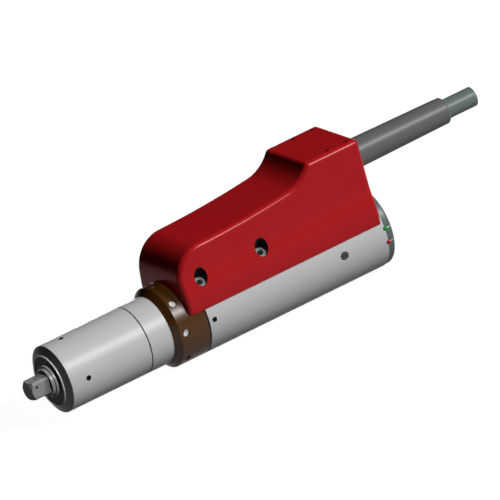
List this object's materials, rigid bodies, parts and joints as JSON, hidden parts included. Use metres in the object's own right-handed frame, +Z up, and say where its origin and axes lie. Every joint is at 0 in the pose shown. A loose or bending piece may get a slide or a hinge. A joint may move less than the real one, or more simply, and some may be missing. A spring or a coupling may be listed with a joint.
{
  "type": "robot screwdriving spindle",
  "caption": "Inline electric nutrunner spindle with a square drive, planetary gearing, a clamping collar, a motor tube and a red saddle cover with a cable outlet.",
  "frame": {"origin": "on the spindle axis, at the front edge of the mounting collar, where the nose barrel ends", "axes": "+X along the spindle axis from the square drive to the cable, +Z up through the cover, so the lamps and the slotted plug are on the -Y side"},
  "size_m": [0.391, 0.0604, 0.1031],
  "materials": {
    "bright_steel": "ground steel, grey",
    "dark_steel": "blackened steel",
    "bearing_steel": "ground bearing steel",
    "gear_steel": "hardened gear steel",
    "core_steel": "laminated steel",
    "magnet": "nickel-plated magnet",
    "bare_aluminium": "satin turned aluminium",
    "bronze_anodised": "brown hard-anodised aluminium",
    "plug_steel": "dark grey steel",
    "copper": "enamelled copper wire",
    "cap_grey": "grey-green anodised aluminium",
    "green_lens": "green lamp lens",
    "red_lens": "red lamp lens",
    "board_green": "circuit board",
    "red_moulding": "red satin moulded plastic",
    "screw_steel": "plain steel",
    "black_plastic": "black moulded plastic",
    "core_insulation": "grey wire insulation",
    "relief_rubber": "dark grey rubber",
    "cable_sheath": "grey-green cable sheath"
  },
  "bodies": {
    "housing": {"nose_housing": "bare_aluminium", "front_retainer": "dark_steel", "shaft_seal": "bright_steel", "output_front_bearing": "bearing_steel", "output_rear_bearing": "bearing_steel", "bearing_spacer": "gear_steel", "gearcase": "bare_aluminium", "ring_gear": "gear_steel", "torque_transducer": "bright_steel", "mounting_collar": "bronze_anodised", "motor_tube": "bare_aluminium", "tube_plug": "plug_steel", "motor_front_plate": "bare_aluminium", "motor_front_bearing": "bearing_steel", "stator_core": "core_steel", "stator_windings": "copper", "motor_rear_plate": "bare_aluminium", "motor_rear_bearing": "bearing_steel", "resolver_stator": "core_steel", "rear_cap": "cap_grey", "green_lamp": "green_lens", "red_lamp": "red_lens", "lamp_board": "board_green", "cover": "red_moulding", "cover_screws": "screw_steel", "circuit_board": "board_green", "board_brackets": "black_plastic", "connector_block": "black_plastic", "cable_cores": "core_insulation", "gland_nut": "black_plastic", "bend_relief": "relief_rubber", "cable": "cable_sheath"},
    "output_spindle": {"output_spindle": "bright_steel", "output_planet_pins": "bearing_steel"},
    "input_carrier": {"input_carrier": "gear_steel", "input_planet_pins": "bearing_steel"},
    "rotor": {"rotor_shaft": "gear_steel", "rotor_core": "core_steel", "rotor_magnets": "magnet", "resolver_rotor": "core_steel"},
    "output_planet_1": {"output_planet_1": "gear_steel"},
    "output_planet_2": {"output_planet_2": "gear_steel"},
    "output_planet_3": {"output_planet_3": "gear_steel"},
    "input_planet_1": {"input_planet_1": "gear_steel"},
    "input_planet_2": {"input_planet_2": "gear_steel"},
    "input_planet_3": {"input_planet_3": "gear_steel"}
  },
  "joints": [
    {"name": "output_spin", "type": "hinge", "parent": "housing", "child": "output_spindle", "pos_m": [0, 0, 0], "axis": [1, 0, 0], "continuous": true},
    {"name": "input_carrier_spin", "type": "hinge", "parent": "housing", "child": "input_carrier", "pos_m": [0, 0, 0], "axis": [1, 0, 0], "continuous": true},
    {"name": "rotor_spin", "type": "hinge", "parent": "housing", "child": "rotor", "pos_m": [0, 0, 0], "axis": [1, 0, 0], "continuous": true},
    {"name": "output_planet_1_spin", "type": "hinge", "parent": "output_spindle", "child": "output_planet_1", "pos_m": [0, 0.01155, 0], "axis": [1, 0, 0], "continuous": true},
    {"name": "output_planet_2_spin", "type": "hinge", "parent": "output_spindle", "child": "output_planet_2", "pos_m": [0, -0.00577, 0.01], "axis": [1, 0, 0], "continuous": true},
    {"name": "output_planet_3_spin", "type": "hinge", "parent": "output_spindle", "child": "output_planet_3", "pos_m": [0, -0.00577, -0.01], "axis": [1, 0, 0], "continuous": true},
    {"name": "input_planet_1_spin", "type": "hinge", "parent": "input_carrier", "child": "input_planet_1", "pos_m": [0, 0.01155, 0], "axis": [1, 0, 0], "continuous": true},
    {"name": "input_planet_2_spin", "type": "hinge", "parent": "input_carrier", "child": "input_planet_2", "pos_m": [0, -0.00577, 0.01], "axis": [1, 0, 0], "continuous": true},
    {"name": "input_planet_3_spin", "type": "hinge", "parent": "input_carrier", "child": "input_planet_3", "pos_m": [0, -0.00577, -0.01], "axis": [1, 0, 0], "continuous": true}
  ],
  "couplings": [
    {"joint": "input_carrier_spin", "follows": "output_spin", "ratio": 4.6667},
    {"joint": "rotor_spin", "follows": "output_spin", "ratio": 21.778},
    {"joint": "output_planet_1_spin", "follows": "output_spin", "ratio": -2.75},
    {"joint": "output_planet_2_spin", "follows": "output_spin", "ratio": -2.75},
    {"joint": "output_planet_3_spin", "follows": "output_spin", "ratio": -2.75},
    {"joint": "input_planet_1_spin", "follows": "output_spin", "ratio": -12.833},
    {"joint": "input_planet_2_spin", "follows": "output_spin", "ratio": -12.833},
    {"joint": "input_planet_3_spin", "follows": "output_spin", "ratio": -12.833}
  ]
}
